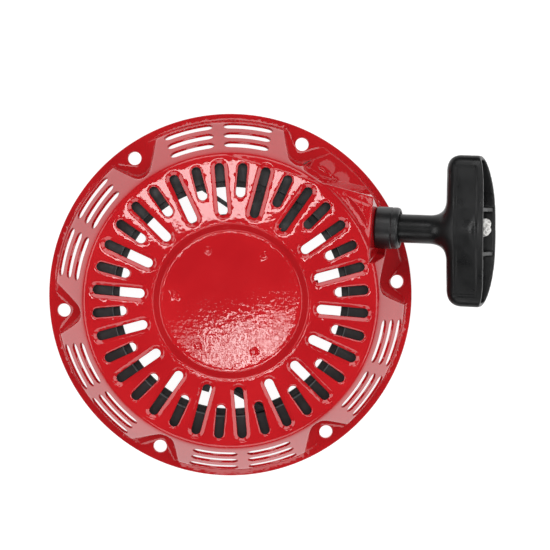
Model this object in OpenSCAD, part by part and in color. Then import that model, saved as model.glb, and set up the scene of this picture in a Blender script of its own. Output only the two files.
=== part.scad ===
// Recoil starter of a single-cylinder engine: pressed-steel housing, rope reel, recoil spring,
// ratchets and T-handle. +Z is the starter's axis, away from the engine. The origin is the
// centre of the bolt circle on the mounting plane. The rope leaves towards +X.

/* [Housing] */
// Thickness of the pressed sheet
sheet = 1.5; // [1.2:0.1:2]
// Radius of the outer edge of the mounting flange
flange_r = 105.4; // [104.5:0.1:108]
// Height of the slotted face above the mounting plane
face_z = 50; // [49:0.5:54]
// Outer radius of the flat slotted face
face_r = 79.5; // [79:0.5:80]
// Slope of the conical wall, from the axis
wall_tilt = 26; // [25:0.5:27]
// Radius of the rounded shoulder between face and wall
shoulder_r = 3.5; // [2.5:0.5:4]
// Radius of the rim of the central dish
dish_r = 43; // [42:0.5:44]
// Depth of the central dish
dish_depth = 3.5; // [2:0.5:4]

/* [Bolt holes] */
// Diameter of the bolt circle
bolt_circle_d = 194; // [192:1:196]
// Number of bolts
bolt_count = 6; // [6]
// Radius of each bolt hole, clearance for M6
bolt_hole_r = 3.8; // [3.2:0.1:4.2]
// Angle of the first bolt
bolt_phase = 4.85; // [4:0.05:6]
// Radius of the round part of the pocket that holds a bolt head
pocket_r = 11.5; // [11:0.5:12]

/* [Slots] */
// Number of long slots, each with a short one beside it
slot_pairs = 18; // [18]
// Width of a slot
slot_w = 4.8; // [4:0.1:5.2]
// Radius at which every slot ends
slot_out_r = 76.5; // [75:0.5:77]
// Radius at which a long slot starts
long_slot_in_r = 48; // [47:0.5:50]
// Radius at which a short slot starts
short_slot_in_r = 58; // [57:0.5:60]
// Height of the centre of each row of side vents
vent_rows = [39, 28, 16.5];
// Height of a vent along the wall
vent_w = 7.5; // [5:0.5:7.5]
// Angle that a vent spans
vent_span = 16.8; // [15:0.2:17]

/* [Rope and handle] */
// Diameter of the rope
rope_d = 4.8; // [4:0.1:4.9]
// Centre of the rope guide
guide_at = [85.4, 40.3, 28];
// Upward tilt of the rope guide's axis
guide_tilt = 13.5; // [12:0.5:14]
// Turn of the rope guide's axis about +Z
guide_yaw = -2; // [-3:0.5:0]
// Outer radius of the rope guide's collar
collar_r = 11.8; // [11:0.1:12]
// Radius of the handle's stem
stem_r = 8.05; // [7:0.05:8.1]
// Length of the handle's bar
bar_l = 84.6; // [80:0.2:90]
// Thickness of the handle's bar
bar_t = 24; // [20:0.5:26]
// Slant of the bar's open side, whose front rim is the lower one
bar_slant = 10; // [5:1:12]

/* [Reel] */
// Outer radius of the reel
reel_r = 82; // [81:0.5:82]
// Radius of the bottom of the rope channel
channel_r = 68; // [68]
// Radius of the post that the reel turns on
post_r = 7; // [6:0.1:7]
// Running clearance between a bore and its shaft
run_gap = 0.05; // [0.02:0.01:0.1]
// Turns of the recoil spring
spring_turns = 9; // [6:1:10]

/* [Ratchets] */
// Distance of a ratchet's pivot from the axis
pivot_at = 24; // [24]
// Radius of a ratchet's pivot pin
pivot_r = 3; // [2.5:0.1:3]

/* [Hidden] */
$fn = 64;

paint_red = "#c8141c";
black_plastic = "#1c1d1f";
reel_black = "#2a2b2d";
zinc = "#b9bcc0";
steel = "#8d9196";
rope_white = "#e8e6df";

slot_pitch = 360 / slot_pairs;
bolt_pitch = 360 / bolt_count;
bolt_r = bolt_circle_d / 2;
rope_r = rope_d / 2;
dish_z = face_z - dish_depth;
dish_floor_r = dish_r - dish_depth;
shoulder_at = [face_r, face_z - shoulder_r];
shoulder_end = shoulder_at + shoulder_r * [cos(wall_tilt), sin(wall_tilt)];
roll_r = 8;
roll_at = [92.8, 8.9];
foot_r = 2;
foot_at = [roll_at[0] + roll_r + foot_r, foot_r + sheet];
bevel_shift = tan(22.5);

// Heights along the axis
plate_z = dish_z - sheet - 2;
post_shoulder_z = 27.3;
hub_low_z = 16;
web_z = 25;
web_t = 2;
drum_r = 48;
drum_top_z = 41.5;
channel_low_z = 23;
channel_high_z = 31.7;
flange_t = 1.8;
rim_in_r = 63.2;
rim_step_r = 66.6;
rim_low_z = channel_low_z - flange_t;
rim_high_z = channel_high_z + flange_t;
ratchet_z = 14;
ratchet_t = 5;
guide_plate_z = 10.7;
spigot_r = 5;
spigot_z = 10.3;
washer_t = 1.2;
screw_head_z = 4.2;

// Rope wound in three nested turns
turn_r = [70.6, 74.9, 79.2];
turn_z = [26.5, 29, 26.5];
wound_r = 2.52;
last_turn_span = 292;

// The rope's way from the reel through the guide to the knot: the guide's mouth is on its axis
seat_s = -3;
collar_face_s = 7.7;
mouth_s = -11;
knot_s = 57;
bar_low_s = 36;
bar_high_s = 63.2;
bar_floor_s = 50;
bar_wall = 2.6;

function polar(r, a) = [r * cos(a), r * sin(a)];
function unit(v) = v / norm(v);
// Quadratic curve from a to c with its corner at b
function bend(a, b, c, t) = (1 - t) * (1 - t) * a + 2 * t * (1 - t) * b + t * t * c;
function arc(at, r, a0, a1, n) =
    [for (i = [0:n]) at + polar(r, a0 + (a1 - a0) * i / n)];

// Unit vector along the rope guide's axis, and a point on that axis
guide_x = [cos(guide_tilt) * cos(guide_yaw), cos(guide_tilt) * sin(guide_yaw), sin(guide_tilt)];
function on_axis(s) = guide_at + s * guide_x;

// The rope leaves the reel on the tangent from its outer turn to the guide's mouth
mouth = on_axis(mouth_s);
mouth_r = norm([mouth[0], mouth[1]]);
leave_angle = atan2(mouth[1], mouth[0]) + acos(turn_r[2] / mouth_r);
turn_end = concat(polar(turn_r[2], leave_angle), [turn_z[2]]);
to_reel = unit(turn_end - mouth);
bend_steps = 8;
rope_route = concat(
    [turn_end - 0.4 * to_reel],
    [for (i = [0:bend_steps]) bend(mouth + 6 * to_reel, mouth, on_axis(mouth_s + 5), i / bend_steps)],
    [on_axis(10), on_axis(knot_s - 5.3)]
);

// Half section of one skin of the housing: k is the depth of the skin below the outer one
function skin(k) = concat(
    [[0, dish_z - k], [dish_floor_r + bevel_shift * k, dish_z - k], [dish_r + bevel_shift * k, face_z - k]],
    arc(shoulder_at, shoulder_r - k, 90, wall_tilt, 5),
    arc(roll_at, roll_r - k, wall_tilt, 0, 4),
    arc(foot_at, foot_r + k, 180, 270, 4)
);

// The wall's outer radius at height z
function wall_r(z) = shoulder_end[0] + (shoulder_end[1] - z) * tan(wall_tilt);

module at_bolts() {
    for (i = [0:bolt_count - 1]) rotate([0, 0, bolt_phase + bolt_pitch * i]) children();
}

// Local frame of the rope guide: x runs along its axis, out of the housing
module at_guide() {
    translate(guide_at) rotate([0, -guide_tilt, guide_yaw]) children();
}

module along_guide(s) {
    at_guide() translate([s, 0, 0]) rotate([0, 90, 0]) children();
}

module ring(r_in, r_out, z, h) {
    translate([0, 0, z]) difference() {
        cylinder(r = r_out, h = h);
        translate([0, 0, -1]) cylinder(r = r_in, h = h + 2);
    }
}

// ---- Housing ----

module outer_body() {
    rotate_extrude() polygon(concat(skin(0), [[flange_r, sheet], [flange_r, 0], [0, 0]]));
}

module inner_body() {
    rotate_extrude() polygon(concat(skin(sheet), [[foot_at[0], -1], [0, -1]]));
}

// Plan of a bolt pocket, grown by k
module pocket_plan(k) {
    circle(r = pocket_r + k);
    polygon([[-3, -10.6 - k], [12, -16 - k], [12, 16 + k], [-3, 10.6 + k]]);
}

module pockets(k, z0) {
    at_bolts() translate([bolt_r, 0, z0]) linear_extrude(face_z) pocket_plan(k);
}

// The raised nose that carries the rope guide, shrunk by k
module nose(k) {
    translate([0, 0, -k])
        linear_extrude(44)
            polygon([
                [40, 30], [45, 66 - k], [58 - k / 2, 63 - 1.2 * k], [76 - k, 58.8 - 1.2 * k],
                [80.5 - k, 56.5 - k], [82 - k, 53], [84, 45], [84, 28], [76, 22 + k]
            ]);
}

// Space in front of the flat that the rope guide sits on, grown by k
module guide_flat(k) {
    at_guide() translate([seat_s - k, -13.4 - k, -18 - k]) cube([60, 26.8 + 2 * k, 50]);
}

module slot(r_in) {
    r_round = slot_w / 2;
    translate([0, 0, dish_z - sheet]) linear_extrude(10) {
        translate([r_in + r_round, 0]) circle(r = r_round);
        translate([slot_out_r - r_round, 0]) circle(r = r_round);
        translate([r_in + r_round, -r_round]) square([slot_out_r - r_in - slot_w, slot_w]);
    }
}

module slots() {
    for (i = [0:slot_pairs - 1]) {
        rotate([0, 0, bolt_phase + slot_pitch * i]) slot(short_slot_in_r);
        rotate([0, 0, bolt_phase + slot_pitch * (i + 0.5)]) slot(long_slot_in_r);
    }
}

module vents() {
    gap = 1.7;
    for (i = [1:bolt_count - 1], side = [gap, -gap - vent_span], z = vent_rows)
        rotate([0, 0, bolt_phase + bolt_pitch * (i + 0.49) + side])
            rotate_extrude(angle = vent_span)
                translate([wall_r(z), z]) rotate(wall_tilt) square([8, vent_w], center = true);
}

module case() {
    color(paint_red) difference() {
        union() {
            outer_body();
            nose(0);
        }
        pockets(0, sheet);
        guide_flat(0);
        difference() {
            union() {
                inner_body();
                nose(sheet);
            }
            pockets(sheet, -2);
            guide_flat(sheet);
        }
        slots();
        vents();
        at_bolts() translate([bolt_r, 0, -1]) cylinder(r = bolt_hole_r, h = sheet + 2);
        along_guide(-12) cylinder(r = 8, h = 14);
    }
}

module post_plate() {
    color(zinc) ring(6, 37, plate_z, 2);
}

module center_post() {
    upper_r = post_r + 1.4;
    color(zinc) difference() {
        union() {
            translate([0, 0, post_shoulder_z]) cylinder(r = upper_r, h = plate_z - post_shoulder_z);
            translate([0, 0, ratchet_z]) cylinder(r = post_r, h = post_shoulder_z - ratchet_z);
            translate([0, 0, plate_z]) cylinder(r = 6, h = 2);
            translate([0, 0, spigot_z]) cylinder(r = spigot_r, h = ratchet_z - spigot_z);
        }
        translate([0, 0, spigot_z - 1]) cylinder(r = 3, h = 21);
        translate([4.8, -0.6, post_shoulder_z - 1]) cube([8, 1.2, 14]);
    }
}

// Collar outside the flat, neck through it and a flared mouth inside
module rope_guide() {
    neck_r = 7.9;
    bore_r = rope_r + 0.9;
    inner_s = seat_s - sheet;
    flare_r = 7.6;
    color(black_plastic) along_guide(0) difference() {
        rotate_extrude() polygon([
            [0, seat_s], [neck_r, seat_s], [collar_r - 0.8, seat_s], [collar_r, seat_s + 0.8],
            [collar_r, collar_face_s - 1], [collar_r - 1, collar_face_s], [0, collar_face_s]
        ]);
        rotate_extrude() polygon([
            [0, seat_s - 1], [bore_r, seat_s - 1], [bore_r, 3.6], [stem_r + 0.5, 3.6],
            [stem_r + 0.5, collar_face_s + 1], [0, collar_face_s + 1]
        ]);
    }
    color(black_plastic) along_guide(0) rotate_extrude() polygon(concat(
        [[bore_r, seat_s], [neck_r, seat_s], [neck_r, inner_s - 0.3], [9.6, inner_s - 0.3], [9.6, inner_s - 1.8]],
        arc([flare_r, inner_s - 1.8], flare_r - bore_r, 180 + 75, 180, 4)
    ));
}

// ---- Centre hardware ----

module guide_screw() {
    color(zinc) {
        translate([0, 0, screw_head_z]) cylinder(r = 5.77, h = 3.8, $fn = 6);
        translate([0, 0, screw_head_z + 3.7]) cylinder(r = 7, h = spigot_z - washer_t - screw_head_z - 3.7);
        translate([0, 0, screw_head_z + 3.7]) cylinder(r = 2.9, h = 20);
    }
}

module lock_washer() {
    color(zinc) difference() {
        ring(3.2, 8, spigot_z - washer_t, washer_t);
        rotate([0, 12, 30]) translate([2, -0.4, 0]) cube([8, 0.8, 20]);
    }
}

// Two coils of wire between the ratchet guide and the thrust washer
module friction_spring() {
    wire_r = 0.6;
    color(steel) for (z = [13.15, 14.25])
        rotate_extrude() translate([8.9, z]) circle(r = wire_r, $fn = 24);
}

module thrust_washer() {
    color(steel) ring(post_r + 0.1, 12, hub_low_z - 0.9, 0.8);
}

// ---- Reel ----

module rim() {
    rotate_extrude() polygon([
        [rim_in_r, rim_low_z], [reel_r, rim_low_z], [reel_r, channel_low_z], [channel_r, channel_low_z],
        [channel_r, channel_high_z], [reel_r, channel_high_z], [reel_r, rim_high_z],
        [rim_step_r, rim_high_z], [rim_step_r, rim_low_z + 2.5], [rim_in_r, rim_low_z + 2.5]
    ]);
}

// A slanted spoke from the drum at angle a to the rim, moved sideways by side
module spoke(a, w, h, side = 0) {
    intersection() {
        cylinder(r = rim_in_r + 1.8, h = face_z);
        rotate([0, 0, a]) translate([drum_r - 1.2, 0, rim_low_z])
            rotate([0, 0, 66]) translate([-1.5, side - w / 2, 0]) cube([36, w, h]);
    }
}

module drum() {
    rotate_extrude() polygon([
        [post_r + run_gap, hub_low_z], [13, hub_low_z], [13, web_z], [drum_r, web_z],
        [drum_r, drum_top_z], [drum_r - 2, drum_top_z], [drum_r - 2, web_z + web_t],
        [post_r + run_gap, web_z + web_t]
    ]);
    for (i = [0:5])
        rotate([0, 0, 30 + 60 * i]) translate([12.5, -1, 21]) cube([34.5, 2, web_z + 0.5 - 21]);
}

// Roofed sector over the rope's anchor, on two walls that run to the rim
module anchor_sector() {
    foot_z = rim_low_z + 1;
    rotate([0, 0, 39.5]) rotate_extrude(angle = 40) polygon([
        [drum_r - 0.5, foot_z], [drum_r + 3, foot_z], [drum_r + 3, rim_high_z - 2.4],
        [rim_in_r - 1.2, rim_high_z - 2.4], [rim_in_r - 1.2, rim_high_z], [drum_r - 0.5, rim_high_z]
    ]);
    rotate([0, 0, 40]) rotate_extrude(angle = 39)
        translate([rim_in_r - 1.6, foot_z - 0.4]) square([2.4, 1.2]);
    for (a = [40.5, 74.5])
        rotate([0, 0, a]) rotate_extrude(angle = 4) polygon([
            [drum_r + 1, foot_z + 0.4], [rim_in_r + 0.8, foot_z + 0.4], [rim_in_r + 0.8, web_z + 1],
            [rim_in_r - 2, web_z + 1], [rim_in_r - 2, rim_high_z - 1], [drum_r + 1, rim_high_z - 1]
        ]);
}

module reel() {
    color(reel_black) difference() {
        union() {
            rim();
            drum();
            anchor_sector();
            spoke(80, 2.4, 5.6);
            spoke(264, 2, 5.6, -2.4);
            spoke(264, 2, 5.6, 2.4);
            spoke(264, 4, 2);
            rotate([0, 0, 253]) translate([drum_r - 1, -3.5, web_z - 2]) cube([7, 7, 9]);
            for (i = [0:1])
                rotate([0, 0, 180 * i]) translate([pivot_at, 0, 13.2])
                    cylinder(r = pivot_r, h = web_z + 0.5 - 13.2);
        }
        rotate([0, 0, 59]) translate([55, 0, turn_z[0]]) rotate([0, 90, 0])
            cylinder(r = rope_r + 0.1, h = 15);
        rotate([0, 0, 90]) translate([drum_r - 6, -0.6, web_z + web_t]) cube([12, 1.2, 20]);
    }
}

// Three nested turns of rope: the outer one ends where the rope leaves for the guide
module rope_wound() {
    color(rope_white) {
        for (i = [0:1])
            rotate_extrude() translate([turn_r[i], turn_z[i]]) circle(r = wound_r, $fn = 32);
        rotate([0, 0, leave_angle]) rotate_extrude(angle = last_turn_span)
            translate([turn_r[2], turn_z[2]]) circle(r = wound_r, $fn = 32);
    }
}

// The knot that holds the rope in the reel, with the short tail that reaches the channel
module rope_anchor_knot() {
    color(rope_white) rotate([0, 0, 59]) {
        translate([57.5, 0, turn_z[0]]) sphere(r = 3.9);
        translate([57.5, 0, turn_z[0]]) rotate([0, 90, 0]) cylinder(r = rope_r, h = 10.3);
    }
}

// Flat spiral spring: its outer tab sits in the drum and its inner tab in the post
module recoil_spring() {
    thick = 0.9;
    in_r = 10.4;
    out_r = 44.6;
    steps = spring_turns * 24 + 6;
    function spiral(side) = [
        for (i = [0:steps]) polar(in_r + (out_r - in_r) * i / steps + side * thick / 2, 15 * i)
    ];
    function reversed(list) = [for (i = [len(list) - 1:-1:0]) list[i]];
    color(steel) translate([0, 0, web_z + web_t + 0.8]) linear_extrude(12) {
        polygon(concat(spiral(1), reversed(spiral(-1))));
        translate([5.4, -0.45]) square([in_r - 5.2, thick]);
        rotate(90) translate([out_r - 0.2, -0.45]) square([3, thick]);
    }
}

// ---- Ratchets ----

module ratchet() {
    translate([pivot_at, 0, ratchet_z]) difference() {
        linear_extrude(ratchet_t) {
            circle(r = 5.2);
            polygon([[-3.4, 2], [-3.4, -8], [-1.6, -20.5], [1.5, -23], [4.6, -21.5], [5.2, -14], [5.1, 0]]);
        }
        translate([0, 0, -1]) cylinder(r = pivot_r + run_gap, h = ratchet_t + 2);
    }
}

module ratchet_1() {
    color(zinc) ratchet();
}

module ratchet_2() {
    color(zinc) rotate([0, 0, 180]) ratchet();
}

// Small torsion spring round the pivot, between ratchet and reel
module ratchet_spring() {
    wire_r = 0.5;
    leg_r = wire_r - 0.08;
    coil_r = pivot_r + 0.7;
    low_z = ratchet_z + ratchet_t + wire_r + 0.2;
    translate([pivot_at, 0, low_z]) {
        for (i = [0:3])
            rotate_extrude() translate([coil_r, 0.85 * i]) circle(r = wire_r, $fn = 20);
        translate([coil_r - 0.1, 1, 0]) rotate([90, 0, 0]) cylinder(r = leg_r, h = 13, $fn = 20);
        translate([0.1 - coil_r, -1, 2.55]) rotate([-90, 0, 8]) cylinder(r = leg_r, h = 9.9, $fn = 20);
    }
}

module ratchet_spring_1() {
    color(steel) ratchet_spring();
}

module ratchet_spring_2() {
    color(steel) rotate([0, 0, 180]) ratchet_spring();
}

// Plate whose two fingers push the ratchets out when it lags behind the reel
module ratchet_guide() {
    finger_at = 17.2;
    thick = 1.4;
    color(zinc) difference() {
        union() {
            translate([0, 0, guide_plate_z]) cylinder(r = 14, h = thick);
            for (i = [0:1]) rotate([0, 0, 180 * i - 48]) {
                translate([8, -3.5, guide_plate_z]) cube([finger_at - 8, 7, thick]);
                translate([finger_at, 0, guide_plate_z]) cylinder(r = 3.5, h = thick);
                translate([finger_at, 0, guide_plate_z]) cylinder(r = 1.7, h = 7.5);
            }
        }
        translate([0, 0, guide_plate_z - 1]) cylinder(r = spigot_r + run_gap, h = thick + 2);
    }
}

// ---- Handle ----

// The bar in plan, with its open side bowed
module bar_plan() {
    bow_r = 165;
    bow = asin(bar_l / 2 / bow_r);
    polygon(concat(
        arc([bar_high_s + 0.6 - bow_r, 0], bow_r, bow, -bow, 12),
        arc([bar_low_s + 10, -bar_l / 2 + 10], 10, -90, -180, 6),
        arc([bar_low_s + 10, bar_l / 2 - 10], 10, 180, 90, 6)
    ));
}

module bar() {
    low = -bar_t / 2;
    high = bar_t / 2;
    rim_r = 2.5;
    front_s = bar_high_s - rim_r - (bar_t - 2 * rim_r) * tan(bar_slant);
    intersection() {
        translate([0, 0, low]) linear_extrude(bar_t) bar_plan();
        translate([0, bar_l / 2, 0]) rotate([90, 0, 0]) linear_extrude(bar_l) polygon(concat(
            arc([front_s, high - rim_r], rim_r, 90, bar_slant, 5),
            arc([bar_high_s - rim_r, low + rim_r], rim_r, bar_slant, -90, 6),
            arc([bar_low_s + 9, low + 9], 9, -90, -180, 6),
            arc([bar_low_s + 9, high - 9], 9, 180, 90, 6)
        ));
    }
}

module grip() {
    bar_hollow_t = bar_t - 2 * bar_wall;
    rib_y = 12.3;
    color(black_plastic) at_guide() difference() {
        union() {
            translate([4.2, 0, 0]) rotate([0, 90, 0]) cylinder(r = stem_r, h = bar_low_s);
            bar();
        }
        difference() {
            translate([bar_floor_s, -bar_l / 2 + bar_wall, -bar_hollow_t / 2])
                cube([30, bar_l - 2 * bar_wall, bar_hollow_t]);
            for (side = [-1, 1])
                translate([bar_floor_s - 1, side * rib_y - 1.25, -bar_t / 2]) cube([13, 2.5, bar_t]);
        }
        rotate([0, 90, 0]) cylinder(r = rope_r + 0.4, h = 60);
    }
}

// Overhand knot at the handle's end of the rope
module rope_knot() {
    color(rope_white) at_guide() translate([knot_s, 0, 0]) rotate([0, 90, 0])
        rotate_extrude() polygon(concat(
            [[0, -5.2]], arc([2, -1.2], 4, -90, 0, 4), arc([2, 1.2], 3.6, 0, 90, 4), [[0, 4.8]]
        ));
}

// Tube of the given radius with flat ends along a route that never runs along +Z
module tube(route, r, sides) {
    last = len(route) - 1;
    points = [
        for (i = [0:last])
            let (
                ahead = unit(route[min(i + 1, last)] - route[max(i - 1, 0)]),
                across = unit(cross([0, 0, 1], ahead)),
                up = cross(ahead, across)
            )
            for (j = [0:sides - 1])
                route[i] + r * (cos(360 * j / sides) * across + sin(360 * j / sides) * up)
    ];
    walls = [
        for (i = [0:last - 1], j = [0:sides - 1])
            let (k = (j + 1) % sides, a = i * sides, b = a + sides)
            [a + j, b + j, b + k, a + k]
    ];
    polyhedron(
        points,
        concat([[for (j = [0:sides - 1]) j]], walls, [[for (j = [sides - 1:-1:0]) last * sides + j]]),
        convexity = 4
    );
}

// Rope from the reel's outer turn to the knot, straight but for the bend in the guide's mouth
module rope_run() {
    color(rope_white) tube(rope_route, rope_r, 12);
}

case();
post_plate();
center_post();
rope_guide();
guide_screw();
lock_washer();
friction_spring();
thrust_washer();
reel();
rope_wound();
rope_anchor_knot();
recoil_spring();
ratchet_1();
ratchet_2();
ratchet_spring_1();
ratchet_spring_2();
ratchet_guide();
grip();
rope_knot();
rope_run();
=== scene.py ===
"""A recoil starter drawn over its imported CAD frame. Lengths are in millimetres, in the frame's axes."""

import math

import bpy
import numpy as np
from mathutils import Matrix, Quaternion, Vector
from mathutils.geometry import delaunay_2d_cdt


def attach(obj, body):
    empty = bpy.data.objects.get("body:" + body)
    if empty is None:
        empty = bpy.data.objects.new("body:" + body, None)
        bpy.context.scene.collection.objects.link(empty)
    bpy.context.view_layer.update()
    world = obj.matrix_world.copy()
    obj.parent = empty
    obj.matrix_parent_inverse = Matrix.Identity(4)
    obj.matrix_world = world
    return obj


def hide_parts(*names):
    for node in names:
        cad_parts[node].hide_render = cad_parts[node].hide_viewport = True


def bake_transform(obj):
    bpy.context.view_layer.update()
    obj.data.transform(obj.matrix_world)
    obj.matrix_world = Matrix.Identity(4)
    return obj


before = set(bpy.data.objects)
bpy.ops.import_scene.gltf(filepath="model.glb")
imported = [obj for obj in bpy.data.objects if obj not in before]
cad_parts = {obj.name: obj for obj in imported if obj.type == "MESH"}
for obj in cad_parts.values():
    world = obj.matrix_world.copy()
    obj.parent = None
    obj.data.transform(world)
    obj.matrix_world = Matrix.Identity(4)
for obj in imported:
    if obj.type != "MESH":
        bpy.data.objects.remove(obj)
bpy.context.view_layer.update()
MM = 0.001

# ---- Sizes shared with the CAD model ----

SHEET = 1.5
FLANGE_R = 105.4
FACE_Z = 50.0
FACE_DROP = 0.0247
DISH_R, DISH_DEPTH = 43.0, 3.5
WALL_TILT = math.radians(26)
WALL_R, WALL_Z = 82.65, 48.03
WALL_SLOPE = 1 / math.tan(WALL_TILT)
BOLT_R, BOLT_PHASE, BOLT_HOLE_R = 97.0, 4.85, 3.8
SLOT_R, SLOT_OUT, LONG_IN, SHORT_IN = 2.4, 76.5, 48.0, 58.0
VENT_ROWS, VENT_H = (39.0, 28.0, 16.5), 7.5
VENT_SPAN, VENT_GAP, VENT_PHASE = 16.8, 1.7, 29.4  # degrees
GUIDE_AT = np.array([85.4, 40.3, 28.0])
GUIDE_TILT, GUIDE_YAW = math.radians(13.5), math.radians(-2)
GUIDE_X = np.array([
    math.cos(GUIDE_TILT) * math.cos(GUIDE_YAW),
    math.cos(GUIDE_TILT) * math.sin(GUIDE_YAW),
    math.sin(GUIDE_TILT),
])
GUIDE_Y = np.array([-math.sin(GUIDE_YAW), math.cos(GUIDE_YAW), 0])
GUIDE_Z = np.cross(GUIDE_X, GUIDE_Y)
SEAT_S = -3.0
ROPE_R = 2.4


# ---- Small tools ----

def soft_min(a, b, k):
    return 0.5 * (a + b - np.sqrt((a - b) ** 2 + k * k))


def soft_max(a, b, k):
    return 0.5 * (a + b + np.sqrt((a - b) ** 2 + k * k))


def ramp(low, high, x):
    t = np.clip((x - low) / (high - low), 0, 1)
    return t * t * (3 - 2 * t)


def unit(v):
    return v / np.maximum(np.linalg.norm(v, axis=-1, keepdims=True), 1e-12)


def along_normals(points, normals, quads):
    """Quads wound so that they face along the shading normals."""
    a, b, c = points[quads[:, 0]], points[quads[:, 1]], points[quads[:, 2]]
    wrong = (np.cross(b - a, c - a) * normals[quads].mean(1)).sum(1) < 0
    quads[wrong] = quads[wrong][:, ::-1]
    return quads


def curved(a, b, c, steps):
    """Points along the curve from a to c that b pulls aside."""
    return [(1 - k) ** 2 * a + 2 * k * (1 - k) * b + k * k * c for k in np.linspace(0, 1, steps)]


def on_guide(s, t=0.0, u=0.0):
    """Point at s along the rope guide's axis, t across it and u above it."""
    return GUIDE_AT + s * GUIDE_X + t * GUIDE_Y + u * GUIDE_Z


def make_object(name, points, faces, material, normals=None):
    """Smooth-shaded mesh object from points in millimetres, with its own shading normals if given."""
    mesh = bpy.data.meshes.new(name)
    corners = [tuple(int(i) for i in face) for face in faces]
    mesh.from_pydata([tuple(p) for p in np.asarray(points) * MM], [], corners)
    mesh.validate()
    mesh.update()
    mesh.polygons.foreach_set("use_smooth", [True] * len(mesh.polygons))
    if normals is not None and len(normals) == len(mesh.vertices):
        mesh.normals_split_custom_set_from_vertices([tuple(n) for n in normals])
    mesh.materials.append(material)
    obj = bpy.data.objects.new(name, mesh)
    bpy.context.scene.collection.objects.link(obj)
    return obj


# ---- Materials ----

def node_material(name):
    """Empty Principled material: itself, its tree, its shader and its object coordinates."""
    mat = bpy.data.materials.new(name)
    mat.use_nodes = True
    tree = mat.node_tree
    tree.nodes.clear()
    out = tree.nodes.new("ShaderNodeOutputMaterial")
    bsdf = tree.nodes.new("ShaderNodeBsdfPrincipled")
    tree.links.new(bsdf.outputs[0], out.inputs[0])
    coords = tree.nodes.new("ShaderNodeTexCoord").outputs["Object"]
    return mat, tree, bsdf, coords


def noise(tree, coords, scale, detail=2.0, stretch=None):
    if stretch is not None:
        mapping = tree.nodes.new("ShaderNodeMapping")
        mapping.inputs["Scale"].default_value = stretch
        tree.links.new(coords, mapping.inputs[0])
        coords = mapping.outputs[0]
    tex = tree.nodes.new("ShaderNodeTexNoise")
    tex.inputs["Scale"].default_value = scale
    tex.inputs["Detail"].default_value = detail
    tree.links.new(coords, tex.inputs["Vector"])
    return tex.outputs[0]


def between(tree, fac, low, high, span=(0.35, 0.65)):
    """fac's span mapped to values from low to high."""
    node = tree.nodes.new("ShaderNodeMapRange")
    node.inputs["From Min"].default_value, node.inputs["From Max"].default_value = span
    node.inputs["To Min"].default_value, node.inputs["To Max"].default_value = low, high
    tree.links.new(fac, node.inputs["Value"])
    return node.outputs[0]


def mixed(tree, fac, dark, light):
    """Colour between dark and light, by fac."""
    node = tree.nodes.new("ShaderNodeMix")
    node.data_type = "RGBA"
    node.inputs[6].default_value = (*dark, 1)
    node.inputs[7].default_value = (*light, 1)
    tree.links.new(fac, node.inputs[0])
    return node.outputs[2]


def bumped(tree, height, distance, strength=1.0, under=None):
    node = tree.nodes.new("ShaderNodeBump")
    node.inputs["Distance"].default_value = distance
    node.inputs["Strength"].default_value = strength
    tree.links.new(height, node.inputs["Height"])
    if under is not None:
        tree.links.new(under, node.inputs["Normal"])
    return node.outputs[0]


def finish_material(tree, bsdf, colour, roughness, normal, metallic=0.0, ior=1.5):
    tree.links.new(colour, bsdf.inputs["Base Color"])
    tree.links.new(roughness, bsdf.inputs["Roughness"])
    tree.links.new(normal, bsdf.inputs["Normal"])
    bsdf.inputs["Metallic"].default_value = metallic
    bsdf.inputs["IOR"].default_value = ior


def paint(name):
    """Glossy enamel with orange peel: broad waves, and fine grain in the clear top coat."""
    mat, tree, bsdf, coords = node_material(name)
    shade = between(tree, noise(tree, coords, 26, 3), 0, 1)
    colour = mixed(tree, shade, (0.52, 0.0075, 0.0125), (0.60, 0.0115, 0.0165))
    rough = between(tree, noise(tree, coords, 90, 3), 0.025, 0.05)
    waves = bumped(tree, noise(tree, coords, 140, 1.0), 0.0002, 0.11)
    grain = bumped(tree, noise(tree, coords, 430, 1.5), 0.0002, 0.15, waves)
    finish_material(tree, bsdf, colour, rough, grain)
    return mat


def plastic(name, dark, light, rough, grain_scale, grain, ior=1.5):
    """Moulded plastic: soft waves under a fine grain, whose depth grain is in metres."""
    mat, tree, bsdf, coords = node_material(name)
    colour = mixed(tree, between(tree, noise(tree, coords, 45, 4), 0, 1), dark, light)
    roughness = between(tree, noise(tree, coords, 130, 3), rough[0], rough[1])
    waves = bumped(tree, noise(tree, coords, 70, 2), 0.0004, 0.35)
    fine = bumped(tree, noise(tree, coords, grain_scale, 2), grain, 0.6, waves)
    finish_material(tree, bsdf, colour, roughness, fine, ior=ior)
    return mat


def metal(name, dark, light, rough, stretch=(1, 1, 1)):
    """Bare or plated steel with fine scratches, drawn out by stretch."""
    mat, tree, bsdf, coords = node_material(name)
    colour = mixed(tree, between(tree, noise(tree, coords, 110, 4), 0, 1), dark, light)
    roughness = between(tree, noise(tree, coords, 260, 3), rough[0], rough[1])
    scratches = bumped(tree, noise(tree, coords, 900, 2, stretch=stretch), 0.00004, 0.5)
    finish_material(tree, bsdf, colour, roughness, scratches, metallic=1.0)
    return mat


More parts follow.
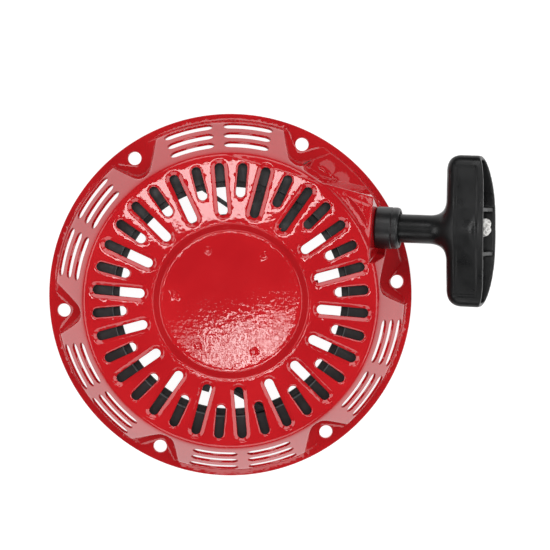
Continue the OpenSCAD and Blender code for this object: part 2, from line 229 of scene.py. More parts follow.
def rope_material(name):
    """White braided cord: crossing strands from two slanted wave patterns, with painted shade in the grooves
    between them.
    """
    mat, tree, bsdf, coords = node_material(name)
    heights = []
    for slant in ((1.0, 0.75, 0.6), (-1.0, 0.75, -0.6)):
        mapping = tree.nodes.new("ShaderNodeMapping")
        mapping.inputs["Scale"].default_value = slant
        tree.links.new(coords, mapping.inputs[0])
        wave = tree.nodes.new("ShaderNodeTexWave")
        wave.bands_direction = "DIAGONAL"
        wave.inputs["Scale"].default_value = 210
        wave.inputs["Distortion"].default_value = 1.6
        wave.inputs["Detail"].default_value = 1.0
        tree.links.new(mapping.outputs[0], wave.inputs[0])
        heights.append(wave.outputs[1])
    top = tree.nodes.new("ShaderNodeMath")
    top.operation = "MAXIMUM"
    tree.links.new(heights[0], top.inputs[0])
    tree.links.new(heights[1], top.inputs[1])
    # The colour is darker where the strands dip: painted shade in the grooves between them.
    strands = between(tree, top.outputs[0], 0, 1, (0.2, 0.8))
    colour = mixed(tree, strands, (0.58, 0.57, 0.55), (0.93, 0.92, 0.89))
    roughness = between(tree, noise(tree, coords, 800, 2), 0.75, 0.9)
    normal = bumped(tree, top.outputs[0], 0.0007, 0.8)
    finish_material(tree, bsdf, colour, roughness, normal)
    bsdf.inputs["Sheen Weight"].default_value = 0.15
    return mat


PAINT = paint("red_enamel")
GRIP = plastic("grip_plastic", (0.0045, 0.0048, 0.0050), (0.0085, 0.0088, 0.0092), (0.26, 0.40),
               1500, 0.00006, 1.34)
COLLAR = plastic("collar_plastic", (0.006, 0.0065, 0.0072), (0.012, 0.0125, 0.0135), (0.30, 0.42),
                 1200, 0.00005)
REEL = plastic("reel_plastic", (0.011, 0.0115, 0.0125), (0.022, 0.023, 0.025), (0.36, 0.52),
               1100, 0.00008)
ZINC = metal("zinc_plate", (0.52, 0.53, 0.55), (0.72, 0.73, 0.74), (0.26, 0.42))
RATCHET = metal("ratchet_steel", (0.34, 0.34, 0.35), (0.52, 0.52, 0.53), (0.30, 0.48))
SPRING = metal("spring_steel", (0.22, 0.23, 0.25), (0.40, 0.41, 0.44), (0.22, 0.36), (1, 1, 0.05))
ROPE = rope_material("rope_braid")


# ---- Housing ----

SKIRT_R, SKIRT_Z, SKIRT_SLOPE = 100.0, 12.4, 7.5
FLANGE_SLOPE = 0.17


def plain_height(r):
    """Height of the pressed sheet's outer skin at radius r, before slots, pockets and nose."""
    face = FACE_Z - FACE_DROP * (r - DISH_R)
    dish_z = FACE_Z - DISH_DEPTH
    dish = soft_max(dish_z, dish_z + r - (DISH_R - DISH_DEPTH), 0.5)
    wall = WALL_Z - (r - WALL_R) * WALL_SLOPE
    skirt = SKIRT_Z - (r - SKIRT_R) * SKIRT_SLOPE
    top = soft_min(soft_min(soft_min(face, dish, 0.45), wall, 2.2), skirt, 1.6)
    return soft_max(top, flange_height(r), 0.9)


def flange_height(r):
    """The mounting flange falls a little towards its edge."""
    return SHEET + FLANGE_SLOPE * (FLANGE_R - r)


def slot_gap(x, y, first, r_in):
    """Signed distance to the nearest slot of the row that starts at angle first."""
    angle = np.radians((np.degrees(np.arctan2(y, x)) - first + 10) % 20 - 10)
    r = np.hypot(x, y)
    along, across = r * np.cos(angle), r * np.sin(angle)
    half = (SLOT_OUT - r_in) / 2 - SLOT_R
    return np.hypot(np.maximum(np.abs(along - (SLOT_OUT + r_in) / 2) - half, 0), across) - SLOT_R


def slot_rims(h, x, y):
    """The skin sinks towards each slot: within 2.3 mm of the long ones, and 1 mm of the short ones."""
    for first, r_in, width, k in ((BOLT_PHASE + 10, LONG_IN, 2.3, 0.16), (BOLT_PHASE, SHORT_IN, 1.0, 0.12)):
        gap = slot_gap(x, y, first, r_in)
        h = soft_min(h, h + (gap - width) * 0.5, k) + 0.25 * k
    return h


def pocket_floor(x, y, index):
    """Land, sloping foot and steep wall of one bolt pocket, whose crease is a V on the cone.

    The pocket beside the rope outlet is the first, and its wide side faces the other way.
    """
    angle = math.radians(BOLT_PHASE + 60 * index)
    out = x * math.cos(angle) + y * math.sin(angle) - BOLT_R
    side = -x * math.sin(angle) + y * math.cos(angle)
    near = np.minimum(np.abs(side), 21)
    foot = -7.6 + 0.95 * np.sqrt(near ** 2 + 4)
    by_outlet = index == 0
    spread = np.where(side > 0, 0.3 if by_outlet else 1.5, 1.5 if by_outlet else 1.0)
    crease = -12.4 + spread * soft_max(near - 4, 0.0, 2.0)
    rise = 0.55 * (foot - out)
    wall = 12.0 * (crease + 1.6 - out)
    land = flange_height(np.hypot(x, y))
    floor = land + soft_max(rise, 0.0, 0.5) + soft_max(wall, 0.0, 0.8)
    reach = np.where(side > 0, 22.0 if by_outlet else 16.5, 16.5 if by_outlet else 20.5)
    return floor + 70 * ramp(0, 9, np.abs(side) - reach) + FAR_UP * (out < -30)


FAR_UP = 200.0  # lifts a pocket's floor out of the way on the housing's far side
NOSE_UP = math.radians(35)
NOSE_EDGES = (  # a point on each side of the nose, the side's outward normal, its top height and steepness
    ((66.3, 61.3), (0.2815, 0.9596), 45.2, 9.0),
    ((80.2, 55.6), (0.887, 0.461), 43.6, 22.0),
    ((79.0, 26.4), (0.45, -0.893), 44.6, 2.4),
)
NOSE_PANEL = ((63.5, 59.3), (75.7, 41.0), (78.5, 53.2))
PADS = (math.radians(53.3), math.radians(46.9))  # angles of the two flat pads on the scoop's floor
WELD_R, WELD_PHASE = 31, 54


def end_plane(x, y):
    """Height of the flat that the rope guide sits on."""
    flat = SEAT_S - GUIDE_X[0] * (x - GUIDE_AT[0]) - GUIDE_X[1] * (y - GUIDE_AT[1])
    return GUIDE_AT[2] + flat / GUIDE_X[2]


def outlet(h, x, y):
    """The scoop above the nose, the nose, its sunk panel, and the recess in front of the guide's flat."""
    r, angle = np.hypot(x, y), np.degrees(np.arctan2(y, x))
    window = ramp(28, 31, angle) * (1 - ramp(58.5, 62.5, angle))
    floor = flange_height(r) + 0.62 * np.maximum(FLANGE_R - 2.5 - r, 0)
    for pad in PADS:
        out = x * math.cos(pad) + y * math.sin(pad)
        side = -x * math.sin(pad) + y * math.cos(pad)
        top = soft_min(7.2 + 1.05 * (96.8 - out), 7.2 + 1.05 * 6.4 - 1.3 * (90.4 - out), 1.5)
        floor = soft_max(floor, top - 1.1 * soft_max(np.abs(side) - 3.6, 0.0, 1.2), 0.8)
    cut = soft_min(h, floor + 7.5 * np.maximum(86.8 - r, 0), 1.0)
    h = h + window * (cut - h)
    along = x * math.cos(NOSE_UP) + y * math.sin(NOSE_UP)
    nose = soft_min(47.0 - 0.27 * (along - 82), 47.9, 0.4)
    for (px, py), (nx, ny), top, steep in NOSE_EDGES:
        nose = soft_min(nose, top - steep * ((x - px) * nx + (y - py) * ny), 1.2)
    nose = soft_min(nose, end_plane(x, y), 1.0)
    h = np.where(along > 45, soft_max(h, nose, 1.4), h)
    inside = 50.0
    for i in range(3):
        (ax, ay), (bx, by) = NOSE_PANEL[i], NOSE_PANEL[(i + 1) % 3]
        length = math.hypot(bx - ax, by - ay)
        inside = np.minimum(inside, ((x - ax) * (ay - by) + (y - ay) * (bx - ax)) / length)
    h = h - 1.3 * ramp(-0.4, 2.4, inside)
    t = (x - GUIDE_AT[0]) * GUIDE_Y[0] + (y - GUIDE_AT[1]) * GUIDE_Y[1]
    floor = GUIDE_AT[2] - 18.0 + 0.24 * (x - GUIDE_AT[0])
    recess = soft_max(end_plane(x, y), floor, 1.5)
    recess = soft_max(recess, 10 + 5.0 * (np.abs(t) - 11.5), 1.5)
    return np.where((x > 70) & (np.abs(t) < 24), soft_min(h, recess, 0.9), h)


def case_height(x, y):
    """Height of the whole outer skin, with pockets, outlet, slot rims and the dish's weld marks."""
    r = np.hypot(x, y)
    h = outlet(plain_height(r), x, y)
    for index in range(6):
        h = soft_min(h, pocket_floor(x, y, index), 1.4)
    h = slot_rims(np.maximum(h, flange_height(r)), x, y)
    for index in range(6):
        a = math.radians(WELD_PHASE + 60 * index)
        from_mark = np.hypot(x - WELD_R * math.cos(a), y - WELD_R * math.sin(a))
        h = h - 0.24 * (1 - ramp(1.3, 2.3, from_mark))
    return h


def case_skin(x, y):
    """Points of the outer skin above (x, y), and the skin's normals."""
    e = 0.04
    gx = (case_height(x + e, y) - case_height(x - e, y)) / (2 * e)
    gy = (case_height(x, y + e) - case_height(x, y - e)) / (2 * e)
    return np.stack([x, y, case_height(x, y)], 1), unit(np.stack([-gx, -gy, np.ones_like(gx)], 1))


def stadium(half, radius, arc_steps, straight_steps):
    """Outline of a slot along x, counterclockwise. Its end arcs are centred at half each way."""
    turn = np.radians(np.linspace(-90, 90, arc_steps + 1))
    right = np.stack([half + radius * np.cos(turn), radius * np.sin(turn)], 1)
    left = -right
    run = np.linspace(0, 1, straight_steps + 1)[1:-1, None]
    top = right[-1] + run * (left[0] - right[-1])
    return np.concatenate([right, top, left, -top])


LIP = 0.4  # plan width of the rounded lip at every opening and at the flange's edge
LIP_STEPS = ((0.12, 0.10, 0.75), (0.0, 0.38, 1.0), (0.0, SHEET - 0.1, 1.0))  # inset, depth, normal's lean
VENT_R = VENT_H / 2 - 0.2
SPACING, MAX_LEVELS, MANY_FACES = 2.6, 6, 90000
MISS, BEND, SHORT_EDGE, LONG_EDGE = 0.03, 0.06, 0.5, 3.4


def vent_row(z):
    """Plan radius of the vent row at height z, and half the length between a vent's end arcs."""
    middle = WALL_R + (WALL_Z - z) / WALL_SLOPE
    return middle, math.radians(VENT_SPAN) * middle / 2 - VENT_H / 2


def case_holes():
    """Every opening as a function from edge offset to its outline in plan, counterclockwise."""
    holes = []
    for index in range(18):
        for first, r_in, steps in ((BOLT_PHASE, SHORT_IN, 9), (BOLT_PHASE + 10, LONG_IN, 15)):
            a = math.radians(first + 20 * index)
            middle = (SLOT_OUT + r_in) / 2
            half = (SLOT_OUT - r_in) / 2 - SLOT_R

            def slot(e, a=a, middle=middle, half=half, steps=steps):
                p = stadium(half, SLOT_R + e, 10, steps)
                x, y = p[:, 0] + middle, p[:, 1]
                return np.stack([x * math.cos(a) - y * math.sin(a), x * math.sin(a) + y * math.cos(a)], 1)

            holes.append(slot)
    for segment in range(1, 6):
        for side in (VENT_GAP + VENT_SPAN / 2, -VENT_GAP - VENT_SPAN / 2):
            for z in VENT_ROWS:
                a = math.radians(BOLT_PHASE + 60 * segment + VENT_PHASE + side)
                middle, half = vent_row(z)

                def vent(e, a=a, middle=middle, half=half):
                    p = stadium(half, VENT_R + e, 10, 16)
                    r, turn = middle - p[:, 1] * math.sin(WALL_TILT), a - p[:, 0] / middle
                    return np.stack([r * np.cos(turn), r * np.sin(turn)], 1)[::-1]

                holes.append(vent)
    for index in range(6):
        a = math.radians(BOLT_PHASE + 60 * index)

        def bolt(e, a=a):
            turn = np.radians(np.arange(0, 360, 9))
            return np.stack([BOLT_R * math.cos(a) + (BOLT_HOLE_R + e) * np.cos(turn),
                             BOLT_R * math.sin(a) + (BOLT_HOLE_R + e) * np.sin(turn)], 1)

        holes.append(bolt)
    return holes


def on_sheet(p):
    """Whether plan points clear every opening and the flange's edge by more than the lip."""
    r, angle = np.hypot(p[:, 0], p[:, 1]), np.degrees(np.arctan2(p[:, 1], p[:, 0]))
    good = r < FLANGE_R - LIP
    good &= slot_gap(p[:, 0], p[:, 1], BOLT_PHASE, SHORT_IN) > LIP
    good &= slot_gap(p[:, 0], p[:, 1], BOLT_PHASE + 10, LONG_IN) > LIP
    a = np.radians((angle - BOLT_PHASE + 30) % 60 - 30)
    good &= np.hypot(r * np.cos(a) - BOLT_R, r * np.sin(a)) > BOLT_HOLE_R + LIP
    turn = angle - BOLT_PHASE - VENT_PHASE
    outlet_segment = np.abs((turn + 180) % 360 - 180) < 30
    for z in VENT_ROWS:
        middle, half = vent_row(z)
        for side in (1, -1):
            off = np.radians((turn - side * (VENT_GAP + VENT_SPAN / 2) + 30) % 60 - 30)
            along, across = off * middle, (r - middle) / math.sin(WALL_TILT)
            gap = np.hypot(np.maximum(np.abs(along) - half, 0), across) - VENT_R
            good &= (gap > LIP) | outlet_segment
    return good


def rescaled(p, before, after):
    """Plan points moved along their radius, from the scale before to the scale after."""
    r = np.hypot(p[:, 0], p[:, 1])
    return p * (np.interp(r, before, after) / np.maximum(r, 1e-9))[:, None]


def coarse_middles(flat, faces, locked, lengths, radii):
    """Middles of the edges that stray from the skin, bend too far or are too long."""
    plan = rescaled(flat, lengths, radii)
    skin, normals = case_skin(plan[:, 0], plan[:, 1])
    edges = np.unique(np.sort(faces[:, [0, 1, 1, 2, 2, 0]].reshape(-1, 2), axis=1), axis=0)
    edges = edges[np.array([tuple(e) not in locked for e in edges])]
    middle = flat[edges].mean(1)
    mid_plan = rescaled(middle, lengths, radii)
    mid_skin, mid_normals = case_skin(mid_plan[:, 0], mid_plan[:, 1])
    ends = skin[edges]
    miss = np.abs(((mid_skin - ends.mean(1)) * mid_normals).sum(1))
    length = np.linalg.norm(ends[:, 0] - ends[:, 1], axis=1)
    bend = 1 - (normals[edges[:, 0]] * normals[edges[:, 1]]).sum(1)
    split = ((miss > MISS) | (bend > BEND)) & (length > SHORT_EDGE) | (length > LONG_EDGE)
    return middle[split & on_sheet(mid_plan)]


def case_triangles(loops):
    """Plan points and triangles over the sheet. The outlines are the holes', then the flange's."""
    # Plan radius against length along the skin, so that triangles on the steep wall come out even
    radii = np.linspace(0, FLANGE_R + 1, 4000)
    rise = np.minimum(np.abs(np.diff(plain_height(radii))), 0.08)
    lengths = np.concatenate([[0], np.cumsum(np.hypot(np.diff(radii), rise))])
    rings, start = [], 0
    for loop in loops:
        rings += [(start + i, start + (i + 1) % len(loop)) for i in range(len(loop))]
        start += len(loop)
    locked = {tuple(sorted(edge)) for edge in rings}
    fixed = rescaled(np.concatenate(loops), radii, lengths)
    hole_of = np.repeat([*range(len(loops) - 1), -1], [len(loop) for loop in loops])

    reach = lengths[-1]
    gx, gy = np.meshgrid(np.arange(-reach, reach, SPACING), np.arange(-reach, reach, SPACING * 0.866))
    gx[1::2] += SPACING / 2
    free = np.stack([gx.ravel(), gy.ravel()], 1)
    free = free[np.hypot(free[:, 0], free[:, 1]) < np.interp(FLANGE_R - LIP - 0.2, radii, lengths)]
    free = free[on_sheet(rescaled(free, lengths, radii))]
    for level in range(MAX_LEVELS):
        points = [Vector(p) for p in np.concatenate([fixed, free])]
        verts, _, faces, _, _, _ = delaunay_2d_cdt(points, rings, [], 0, 1e-7, False)
        faces = np.array([f for f in faces if len(f) == 3])
        flat = np.array([tuple(v) for v in verts])
        # A face with all its corners on one hole's outline fills that hole
        corner = np.concatenate([hole_of, np.full(len(flat) - len(fixed), -1)])[faces]
        faces = faces[(corner[:, 0] < 0) | (corner != corner[:, :1]).any(1)]
        if level == MAX_LEVELS - 1 or len(faces) > MANY_FACES:
            break
        free = np.concatenate([free, coarse_middles(flat, faces, locked, lengths, radii)])
    return rescaled(flat, lengths, radii), faces


def upward(skin, faces):
    """Triangles wound so that they face up."""
    a, b, c = (skin[faces[:, i]] for i in range(3))
    flip = np.cross(b - a, c - a)[:, 2] < 0
    faces[flip] = faces[flip][:, ::-1]
    return faces


def flange_rim(e):
    """Outline of the flange in plan, e inside its edge."""
    turn = np.radians(np.arange(0, 360, 1.0))
    return (FLANGE_R - e) * np.stack([np.cos(turn), np.sin(turn)], 1)


def build_case():
    outlines = case_holes() + [flange_rim]
    loops = [outline(LIP) for outline in outlines]
    plan, faces = case_triangles(loops)
    skin, normals = case_skin(plan[:, 0], plan[:, 1])
    faces = upward(skin, faces)
    count = len(skin)
    points, shades, quads = [skin, skin - SHEET * normals], [normals, -normals], []
    start, total = 0, 2 * count
    for outline, loop in zip(outlines, loops):
        size = len(loop)
        following = np.roll(np.arange(size), -1)
        previous = np.arange(start, start + size)
        for e, depth, lean in LIP_STEPS:
            edge = outline(e)
            ring_points, ring_normals = case_skin(edge[:, 0], edge[:, 1])
            toward = unit(np.concatenate([edge - loop, np.zeros((size, 1))], 1))
            toward = unit(toward - (toward * ring_normals).sum(1, keepdims=True) * ring_normals)
            points.append(ring_points - depth * ring_normals)
            shades.append(unit(lean * toward + (1 - lean) * ring_normals))
            ring = np.arange(total, total + size)
            total += size
            quads.append(np.stack([previous, previous[following], ring[following], ring], 1))
            previous = ring
        inner = np.arange(start, start + size) + count
        quads.append(np.stack([previous, previous[following], inner[following], inner], 1))
        start += size
    points, shades, quads = np.concatenate(points), np.concatenate(shades), np.concatenate(quads)
    quads = along_normals(points, shades, quads)
    everything = [*faces, *(faces[:, ::-1] + count), *quads]
    case = make_object("housing_shell", points, everything, PAINT, shades)
    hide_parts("case")
    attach(case, "housing")


build_case()

# ---- Signed-distance shapes ----

def blend_min(a, b, k):
    """Union with a fillet that ends k away from the seam."""
    h = np.maximum(k - np.abs(a - b), 0) / k
    return np.minimum(a, b) - h * h * k / 4


def blend_max(a, b, k):
    """Intersection with a rounded edge."""
    return -blend_min(-a, -b, k)


def round_rect(x, y, half_x, half_y, r):
    """Distance to a rectangle with corner radius r."""
    dx, dy = np.abs(x) - half_x + r, np.abs(y) - half_y + r
    return np.hypot(np.maximum(dx, 0), np.maximum(dy, 0)) + np.minimum(np.maximum(dx, dy), 0) - r


def slope_of(shape, p):
    """Gradient of shape at the points."""
    e = 0.02
    g = [(shape(p + e * axis) - shape(p - e * axis)) / (2 * e) for axis in np.eye(3)]
    return np.stack(g, 1)


def surface(shape, low, high, cell):
    """Points, quads and normals of the surface where shape is zero, between the corners low and high."""
    axes = [np.arange(a, b + cell, cell) for a, b in zip(low, high)]
    size = [len(a) for a in axes]
    grid = np.stack(np.meshgrid(*axes, indexing="ij"), -1)
    value = shape(grid.reshape(-1, 3)).reshape(size)
    total = np.zeros([n - 1 for n in size] + [3])
    count = np.zeros([n - 1 for n in size])
    corner = [(i, j, k) for i in (0, 1) for j in (0, 1) for k in (0, 1)]

    def at(array, c):
        return array[tuple(slice(o, o + n - 1) for o, n in zip(c, size))]

    for c in corner:
        for axis in range(3):
            if c[axis]:
                continue
            d = tuple(1 if i == axis else v for i, v in enumerate(c))
            va, vb = at(value, c), at(value, d)
            crossing = (va < 0) != (vb < 0)
            f = np.where(crossing, va / np.where(crossing, va - vb, 1), 0)[..., None]
            total += np.where(crossing[..., None], at(grid, c) + f * (at(grid, d) - at(grid, c)), 0)
            count += crossing
    active = count > 0
    index = -np.ones(active.shape, int)
    index[active] = np.arange(active.sum())
    points = total[active] / count[active][:, None]
    quads = []
    inside = value < 0
    for axis in range(3):
        b, c = (axis + 1) % 3, (axis + 2) % 3
        n = [slice(1, -1)] * 3
        n[axis] = slice(0, -1)
        m = list(n)
        m[axis] = slice(1, None)
        first, second = inside[tuple(n)], inside[tuple(m)]
        where = np.argwhere(first != second)
        shift = np.ones(3, int)
        shift[axis] = 0
        where = where + shift
        ring = []
        for db, dc in ((1, 1), (0, 1), (0, 0), (1, 0)):
            q = where.copy()
            q[:, b] -= db
            q[:, c] -= dc
            ring.append(index[tuple(q.T)])
        ring = np.stack(ring, 1)
        outward = first[first != second]
        ring[~outward] = ring[~outward][:, ::-1]
        quads.append(ring)
    quads = np.concatenate(quads)
    for _ in range(5):
        g = slope_of(shape, points)
        points = points - np.clip(shape(points) / np.maximum((g * g).sum(1), 0.2), -0.4, 0.4)[:, None] * g
    return points, quads, unit(slope_of(shape, points))


def to_guide(points, normals):
    """Points and normals from the rope guide's own axes to the frame's."""
    turn = np.stack([GUIDE_X, GUIDE_Y, GUIDE_Z])
    return points @ turn + GUIDE_AT, normals @ turn


# ---- Handle ----

BAR_LOW, BAR_HIGH, BAR_HALF, BAR_T, STEM_R = 36.0, 63.4, 42.3, 12.0, 8.05
RIB_AT, CAVITY_AT, BAR_WALL = 12.3, 50.0, 2.6
RIM_SLANT = math.tan(math.radians(13.3))
LEAN, OPEN_EXTRA = 0.035, 3.5
MARGIN, GRIP_CELL = 1.5, 0.7


def grip_shape(p):
    """Distance to the handle: hollow bar with a slanted, bowed rim, two ribs, stem and rope hole."""
    s, t, u = p[:, 0], p[:, 1], p[:, 2]
    middle, half = (BAR_LOW + BAR_HIGH) / 2, (BAR_HIGH - BAR_LOW) / 2
    end = np.minimum(np.abs(t), BAR_HALF) / BAR_HALF
    thick = BAR_T - 5.4 * end ** 2.2
    s = s + LEAN * t
    bow = end ** 3.2 * (3.7 - 1.7 * u / BAR_T) + 1.2 * end ** 14
    rim = s - (BAR_HIGH - RIM_SLANT * (u + BAR_T) - bow)
    from_middle, reach = s - middle - OPEN_EXTRA / 2, half + OPEN_EXTRA / 2
    plan = round_rect(from_middle, t, reach, BAR_HALF, np.where(s < middle, 9.5, 10.0))
    section_r = np.where(s < middle, np.minimum(8.5, thick - 0.8), 1.5)
    section = round_rect(from_middle, u, reach, thick, section_r)
    bar = blend_max(blend_max(plan, section, 4.0), rim, 0.8)
    panel = np.minimum(np.minimum(36.6 - np.abs(t), s - BAR_LOW - 5.5), -2.6 - rim)
    bar = bar + 0.32 * ramp(0, 1.6, panel) * (u > 0)
    stem = blend_max(blend_max(np.hypot(t, u) - STEM_R, 4.2 - s, 1.2), s - 47, 2.0)
    solid = blend_min(bar, stem, 10.0)
    cavity = round_rect(t, u, BAR_HALF - BAR_WALL, thick - BAR_WALL, 2.2)
    cavity = blend_max(cavity, CAVITY_AT - s, 1.5)
    rib = np.maximum(np.abs(np.abs(t) - RIB_AT) - 1.2, rim + 0.8)
    cavity = blend_max(cavity, -rib, 0.8)
    solid = blend_max(solid, -cavity, 1.0)
    return blend_max(solid, ROPE_R + 0.4 - np.hypot(t, u), 0.5)


def build_grip():
    low = (3.0, -BAR_HALF - MARGIN, -BAR_T - MARGIN)
    high = (BAR_HIGH + MARGIN, BAR_HALF + MARGIN, BAR_T + MARGIN)
    points, quads, normals = surface(grip_shape, low, high, GRIP_CELL)
    points, normals = to_guide(points, normals)
    grip = make_object("handle_shell", points, quads, GRIP, normals)
    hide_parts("grip")
    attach(grip, "handle")


build_grip()


# ---- Turned and tubular pieces ----

def fillet(corners, n=5):
    """Closed outline in (s, r) from corners (s, r, radius), each corner rounded with n steps."""
    out = []
    count = len(corners)
    for i, (s, r, radius) in enumerate(corners):
        here = np.array([s, r])
        before = np.array(corners[i - 1][:2]) - here
        after = np.array(corners[(i + 1) % count][:2]) - here
        if radius <= 0:
            out.append(here)
            continue
        reach = min(radius, 0.45 * np.linalg.norm(before), 0.45 * np.linalg.norm(after))
        out += curved(here + reach * unit(before), here, here + reach * unit(after), n)
    return np.array(out)


def lathe(name, corners, material, steps=96):
    """Ring turned round the rope guide's axis."""
    outline = fillet(corners)
    count = len(outline)
    following = np.roll(outline, -1, 0)
    edge = following - outline
    area = 0.5 * (outline[:, 0] * following[:, 1] - following[:, 0] * outline[:, 1]).sum()
    side = np.stack([edge[:, 1], -edge[:, 0]], 1) * np.sign(area)
    turn = np.arange(steps) * 2 * math.pi / steps

    def spun(profile):
        along = np.broadcast_to(profile[:, 0], (steps, count))
        across, up = (f(turn)[:, None] * profile[:, 1] for f in (np.cos, np.sin))
        return np.stack([along, across, up], -1).reshape(-1, 3)

    points, normals = spun(outline), spun(unit(side + np.roll(side, 1, 0)))
    i, j = np.meshgrid(np.arange(steps), np.arange(count), indexing="ij")
    next_i, next_j = (i + 1) % steps, (j + 1) % count
    corners = [i * count + j, next_i * count + j, next_i * count + next_j, i * count + next_j]
    quads = along_normals(points, normals, np.stack(corners, -1).reshape(-1, 4))
    points, normals = to_guide(points, normals)
    return make_object(name, points, quads, material, normals)


def build_collar():
    collar = lathe("rope_guide_collar", [
        (-2.95, 7.9, 0), (-2.95, 11.1, 0.3), (-2.3, 11.8, 0.4), (5.9, 11.8, 0.3), (6.3, 11.35, 0.2),
        (6.7, 11.7, 0.3), (9.2, 11.7, 1.4), (10.5, 10.9, 1.2), (10.5, 9.9, 0.4), (9.3, 9.6, 0.3),
        (9.3, 8.75, 0.4), (3.6, 8.55, 0.3), (3.6, 3.35, 0.6), (-5.6, 3.35, 2.0), (-6.2, 9.5, 0.7),
        (-4.8, 9.6, 0.4), (-4.8, 7.9, 0)
    ], COLLAR)
    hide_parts("rope_guide")
    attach(collar, "housing")


def tube_along(name, route, radius, material, sides=14, closed=False):
    """Tube of even radius along a route, with its ends closed unless it is a loop."""
    count = len(route)
    ahead = np.roll(route, -1, 0) - np.roll(route, 1, 0)
    if not closed:
        ahead[0], ahead[-1] = route[1] - route[0], route[-1] - route[-2]
    ahead = unit(ahead)
    across = [unit(np.cross(ahead[0], (0.3, 0.2, 0.93)))]
    for i in range(1, count):
        last = across[-1]
        across.append(unit(last - (last @ ahead[i]) * ahead[i]))
    across = np.array(across)
    up = np.cross(ahead, across)
    turn = np.arange(sides) * 2 * math.pi / sides
    ring = across[:, None] * np.cos(turn)[None, :, None] + up[:, None] * np.sin(turn)[None, :, None]
    points = (route[:, None] + radius * ring).reshape(-1, 3)
    quads = []
    for i in range(count if closed else count - 1):
        k = (i + 1) % count
        shift = 0
        if closed and k == 0:
            shift = int(np.argmin(np.linalg.norm(ring[0] - ring[i][0], axis=1)))
        for j in range(sides):
            near, far = (j + 1) % sides, (j + 1 + shift) % sides
            quads.append((i * sides + j, i * sides + near, k * sides + far, k * sides + (j + shift) % sides))
    if not closed:
        quads += [tuple(range(sides))[::-1], tuple((count - 1) * sides + j for j in range(sides))]
    return make_object(name, points, quads, material)


def build_rope_run():
    """The rope leaves the reel's top turn along a tangent, bends at the guide and ends in the handle."""
    mouth = on_guide(-11)
    mouth_r, turn_r, turn_z = math.hypot(mouth[0], mouth[1]), 79.2, 26.5
    leave = math.atan2(mouth[1], mouth[0]) + math.acos(turn_r / mouth_r)
    turn_end = np.array([turn_r * math.cos(leave), turn_r * math.sin(leave), turn_z])
    back = unit(turn_end - mouth)
    bend = curved(mouth + 6 * back, mouth, on_guide(-6), 13)
    begin = turn_end - 0.4 * back
    first = [begin + k * (bend[0] - begin) for k in np.linspace(0, 1, 16)[:-1]]
    last = [on_guide(s) for s in np.linspace(-6, 51.7, 60)[1:]]
    run = tube_along("rope_to_handle", np.array(first + bend + last), ROPE_R, ROPE)
    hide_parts("rope_run")
    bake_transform(run)


def build_knot():
    """Overhand knot whose ends run into each other."""
    a = np.linspace(0, 2 * math.pi, 90, endpoint=False)
    along = 57.3 + 0.8 * 2.3 * np.sin(3 * a)
    across = 2.2 + 0.95 * (1.2 * np.sin(a) + 2.1 * np.sin(2 * a))
    up = 0.9 * (1.2 * np.cos(a) - 2.1 * np.cos(2 * a))
    route = np.array([on_guide(s, t, u) for s, t, u in zip(along, across, up)])
    knot = tube_along("handle_knot", route, ROPE_R, ROPE, closed=True)
    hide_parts("rope_knot")
    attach(knot, "handle")


build_collar()
build_rope_run()
build_knot()

# ---- Carried-over CAD pieces ----

FINISH = {
    "post_plate": ZINC, "center_post": ZINC, "guide_screw": ZINC, "lock_washer": ZINC,
    "friction_spring": SPRING, "thrust_washer": RATCHET, "reel": REEL, "rope_wound": ROPE,
    "rope_anchor_knot": ROPE, "recoil_spring": SPRING, "ratchet_1": RATCHET, "ratchet_2": RATCHET,
    "ratchet_spring_1": SPRING, "ratchet_spring_2": SPRING, "ratchet_guide": ZINC,
}
EDGE_BREAK = {
    "reel": 0.4, "post_plate": 0.3, "center_post": 0.3, "guide_screw": 0.35, "lock_washer": 0.15,
    "thrust_washer": 0.15, "ratchet_1": 0.4, "ratchet_2": 0.4, "ratchet_guide": 0.25,
}
for name, material in FINISH.items():
    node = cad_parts[name]
    node.data.materials.clear()
    node.data.materials.append(material)
    if name in EDGE_BREAK:
        weld = node.modifiers.new("weld", "WELD")
        weld.merge_threshold = 0.00001
        bevel = node.modifiers.new("edge_break", "BEVEL")
        bevel.width = EDGE_BREAK[name] * MM
        bevel.segments = 2
        bevel.limit_method = "ANGLE"
        bevel.angle_limit = math.radians(40)
        bevel.use_clamp_overlap = True
        bevel.harden_normals = False

# ---- Stage, light and camera ----

def area_light(name, at, aim, size, power, turn=0):
    """Rectangular lamp at a place, facing aim, then turned about the vertical by turn degrees."""
    light = bpy.data.lights.new(name, "AREA")
    light.shape = "RECTANGLE"
    light.size, light.size_y = size
    light.energy = power
    obj = bpy.data.objects.new(name, light)
    obj.location = at
    facing = (Vector(aim) - Vector(at)).to_track_quat("-Z", "Y")
    obj.rotation_euler = (Quaternion((0, 0, 1), math.radians(turn)) @ facing).to_euler()
    bpy.context.scene.collection.objects.link(obj)


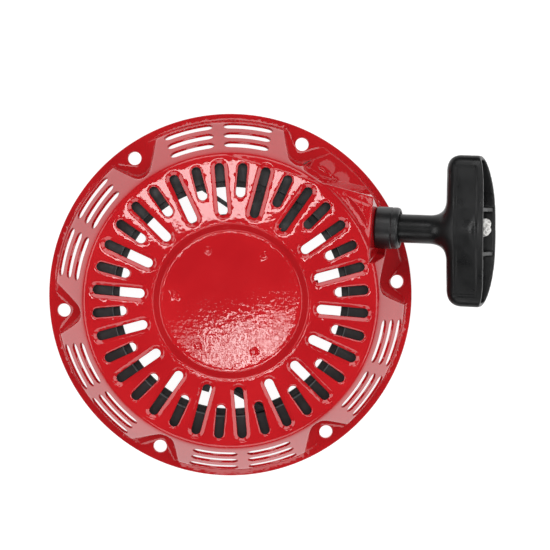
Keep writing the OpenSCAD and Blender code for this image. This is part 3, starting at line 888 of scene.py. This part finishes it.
def build_floor():
    mat, tree, bsdf, coords = node_material("pale_floor")
    shade = between(tree, noise(tree, coords, 9, 2), 0, 1)
    colour = mixed(tree, shade, (0.22, 0.22, 0.22), (0.26, 0.26, 0.26))
    tree.links.new(colour, bsdf.inputs["Base Color"])
    bsdf.inputs["Emission Color"].default_value = (1, 1, 1, 1)
    bsdf.inputs["Emission Strength"].default_value = 0.94
    bsdf.inputs["Roughness"].default_value = 0.9
    bsdf.inputs["Specular IOR Level"].default_value = 0.1
    mesh = bpy.data.meshes.new("floor")
    half, z = 3.0, -0.0002
    corners = [(-half, -half, z), (half, -half, z), (half, half, z), (-half, half, z)]
    mesh.from_pydata(corners, [], [(0, 1, 2, 3)])
    mesh.materials.append(mat)
    floor = bpy.data.objects.new("floor", mesh)
    bpy.context.scene.collection.objects.link(floor)


def build_light():
    """Dim surroundings, four soft lamps from the sides, and cards that the face and the dish reflect."""
    world = bpy.data.worlds.new("studio")
    world.use_nodes = True
    world.node_tree.nodes["Background"].inputs[0].default_value = (1, 1, 1, 1)
    world.node_tree.nodes["Background"].inputs[1].default_value = 0.10
    bpy.context.scene.world = world

    middle = (0.0, 0.0, 0.03)
    area_light("side_top", (0.1, 1.05, 1.35), middle, (1.3, 0.6), 8.5)
    area_light("side_bottom", (0.0, -1.15, 1.25), middle, (1.3, 0.6), 7)
    area_light("side_left", (-1.15, 0.0, 1.25), middle, (1.3, 0.6), 8)
    area_light("side_right", (1.15, 0.0, 1.25), middle, (1.3, 0.6), 8)
    card_z = 1.5
    area_light("glare_band", (-0.02, 0.155, card_z), (-0.02, 0.155, 0.0), (0.46, 0.17), 2.8, turn=7)
    for i, share in enumerate((0.3, 0.8, 0.95, 0.9, 0.6)):
        x, y = -0.056 + 0.035 * i, -0.187 + 0.0075 * i
        power = 0.088 * share
        area_light("glare_dish_%d" % (i + 1), (x, y, card_z), (x, y, 0.0), (0.019, 0.085), power, turn=10)


def build_camera():
    """Camera fitted to the photograph: about 1 m in front, 67 mm above the reel's axis."""
    data = bpy.data.cameras.new("camera")
    data.lens, data.sensor_width = 112.47, 36.0
    data.clip_start, data.clip_end = 0.05, 20
    obj = bpy.data.objects.new("camera", data)
    right, up, back = (0.9997, 0.0007, 0.0244), (0.0007, 0.9985, -0.0548), (-0.0244, 0.0548, 0.998)
    at = (0.00128, 0.06674, 0.9982)
    rows = [(right[i], up[i], back[i], at[i]) for i in range(3)]
    obj.matrix_world = Matrix(rows + [(0, 0, 0, 1)])
    bpy.context.scene.collection.objects.link(obj)
    bpy.context.scene.camera = obj
    bpy.context.scene.view_settings.view_transform = "Standard"


build_floor()
build_light()
build_camera()
